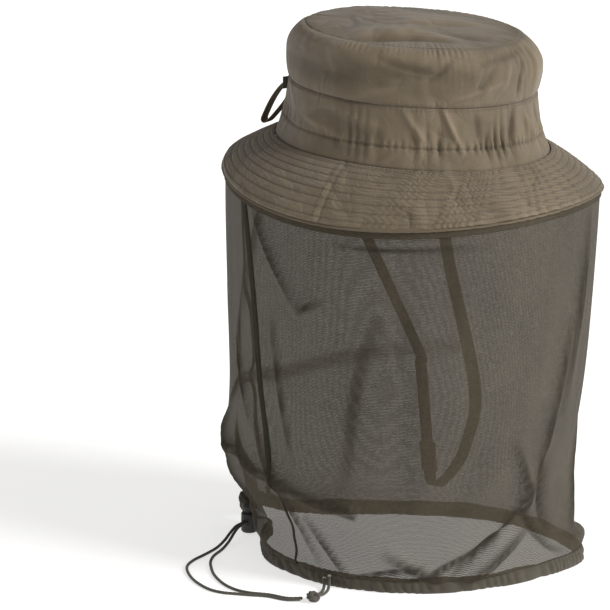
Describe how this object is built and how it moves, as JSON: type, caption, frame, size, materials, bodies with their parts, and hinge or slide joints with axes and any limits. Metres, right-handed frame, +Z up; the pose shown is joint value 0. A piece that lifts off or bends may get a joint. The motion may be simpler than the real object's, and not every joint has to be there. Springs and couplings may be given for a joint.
{
  "type": "beekeeping veil",
  "caption": "Soft bush hat with a quilted brim, a see-through insect net sewn to its edge, a drawcord hem with cord lock, a chin strap, a hang loop and an inner stow pocket.",
  "frame": {"origin": "centre of the head opening, where the crown meets the brim, at the height of the head opening's middle", "axes": "+Z up through the crown; the wearer faces -Y; +X to the wearer's left"},
  "size_m": [0.2948, 0.2939, 0.4162],
  "materials": {
    "shell_cloth": "olive brown woven nylon, slight sheen",
    "sweatband_cloth": "olive brown cotton poplin",
    "elastic": "ribbed elastic tape",
    "interlining": "stiff non-woven",
    "binding_tape": "dark olive woven tape",
    "net": "fine see-through net",
    "tag_cloth": "black woven tag, blank",
    "loop_webbing": "olive folded strip, edge stitched",
    "strap_webbing": "dark olive flat webbing",
    "cord": "dark olive braided cord",
    "lock_plastic": "black moulded nylon",
    "spring_steel": "bright wire",
    "snap_metal": "olive enamelled cap",
    "leather": "dark brown leather"
  },
  "bodies": {
    "hat": {"crown_tip": "shell_cloth", "crown_side_upper": "shell_cloth", "crown_side_lower": "shell_cloth", "sweatband": "sweatband_cloth", "sweatband_elastic": "elastic", "brim_upper": "shell_cloth", "brim_interlining": "interlining", "brim_lower": "shell_cloth", "net_top_tape": "binding_tape", "net_veil": "net", "stow_pocket_panel": "shell_cloth", "stow_pocket_flap_base": "shell_cloth", "snap_stud": "snap_metal", "snap_post": "snap_metal", "side_tag": "tag_cloth", "hang_loop_tab": "loop_webbing", "chin_anchor_right": "strap_webbing", "chin_anchor_left": "strap_webbing"},
    "pocket_flap": {"stow_pocket_flap": "shell_cloth", "snap_cap": "snap_metal", "snap_socket": "snap_metal"},
    "hang_loop": {"hang_loop": "loop_webbing"},
    "hem": {"hem_channel": "binding_tape", "hem_drawcord": "cord", "cord_strand_outer": "cord", "cord_strand_inner": "cord", "cord_knot": "cord", "cord_tail_1": "cord", "cord_tail_2": "cord"},
    "cord_lock": {"lock_barrel": "lock_plastic", "lock_spring": "spring_steel"},
    "lock_button": {"lock_plunger": "lock_plastic"},
    "chin_strap": {"chin_strap": "strap_webbing"},
    "chin_slider": {"chin_slider": "leather"}
  },
  "joints": [
    {"name": "pocket_flap_hinge", "type": "hinge", "parent": "hat", "child": "pocket_flap", "pos_m": [0.024, 0, 0.067], "axis": [0, -1, 0], "range_deg": [0, 65]},
    {"name": "hang_loop_hinge", "type": "hinge", "parent": "hat", "child": "hang_loop", "pos_m": [0, 0.1012, 0.0345], "axis": [1, 0, 0], "range_deg": [0, 95]},
    {"name": "net_lift", "type": "slide", "parent": "hat", "child": "hem", "axis": [0, -0.04, 0.9992], "range_m": [0, 0.19], "deforming": ["net_veil"]},
    {"name": "lock_slide", "type": "slide", "parent": "hem", "child": "cord_lock", "axis": [-1, 0, 0], "range_m": [0, 0.01]},
    {"name": "lock_press", "type": "slide", "parent": "cord_lock", "child": "lock_button", "axis": [0, 0, -1], "range_m": [0, 0.003], "stiffness_N_per_m": 300, "springref_m": -0.003, "deforming": ["lock_spring"]},
    {"name": "chin_swing", "type": "hinge", "parent": "hat", "child": "chin_strap", "pos_m": [0, 0.018, 0], "axis": [1, 0, 0], "range_deg": [-14, 17]},
    {"name": "slider_slide", "type": "slide", "parent": "chin_strap", "child": "chin_slider", "axis": [-0.1298, 0.0236, 0.9913], "range_m": [0, 0.055]}
  ]
}
